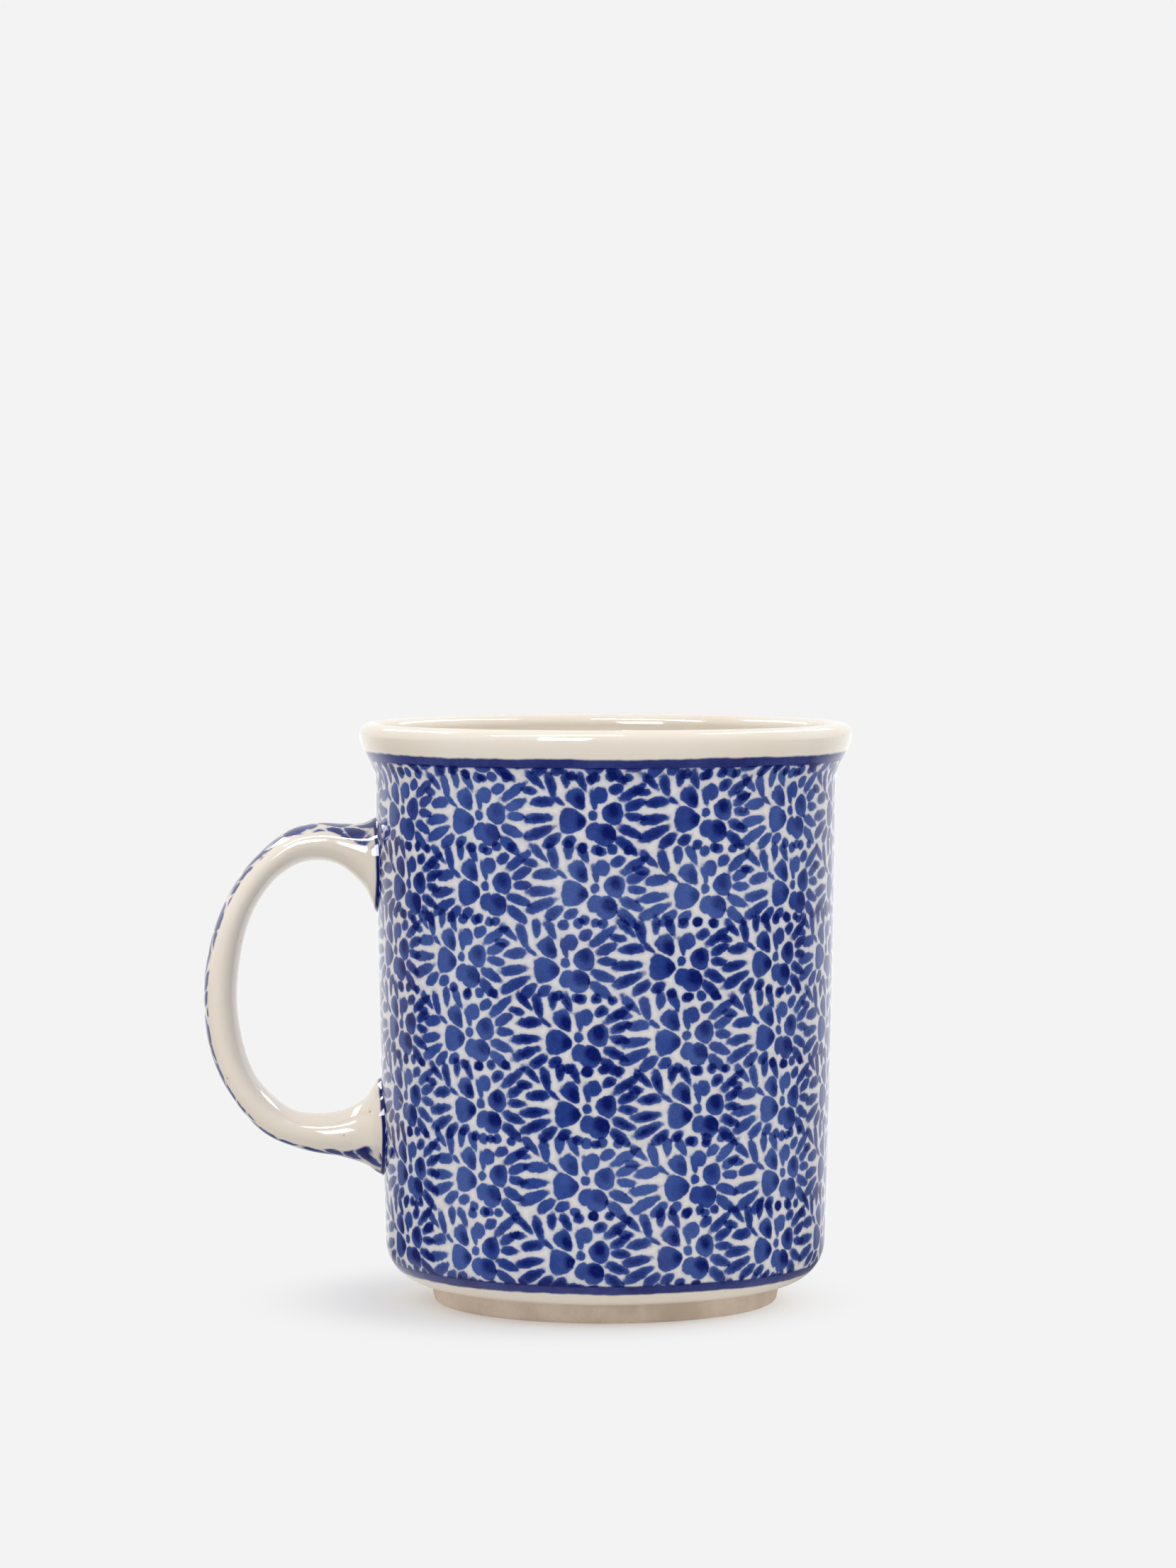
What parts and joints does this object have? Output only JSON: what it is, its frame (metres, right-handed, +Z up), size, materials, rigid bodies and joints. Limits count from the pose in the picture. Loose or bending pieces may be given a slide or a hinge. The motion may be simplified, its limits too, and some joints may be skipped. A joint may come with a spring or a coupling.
{
  "type": "stoneware mug",
  "caption": "Straight glazed stoneware mug with a turned-out lip, a foot ring, a side handle and a stamped cobalt pattern between two painted lines.",
  "frame": {"origin": "on the cup's axis, in the plane that the foot ring stands on", "axes": "+Z up along the cup's axis, -X towards the handle, +Y completes the right-handed frame across the handle"},
  "size_m": [0.1187, 0.09, 0.106],
  "materials": {
    "bare_stoneware": "fired stoneware, unglazed and matt",
    "cream_glaze": "glossy cream glaze with fine iron specks",
    "cobalt_glaze": "hand-painted cobalt under glossy clear glaze",
    "stamped_glaze": "sponge-stamped cobalt flowers on cream under glossy clear glaze"
  },
  "bodies": {
    "root": {"cup_body": "bare_stoneware", "handle": "stamped_glaze", "upper_joint": "cobalt_glaze", "lower_joint": "cobalt_glaze", "liner_glaze": "cream_glaze", "upper_line": "cobalt_glaze", "stamped_coat": "stamped_glaze", "lower_line": "cobalt_glaze", "base_glaze": "cream_glaze", "underside_glaze": "cream_glaze"}
  },
  "joints": []
}
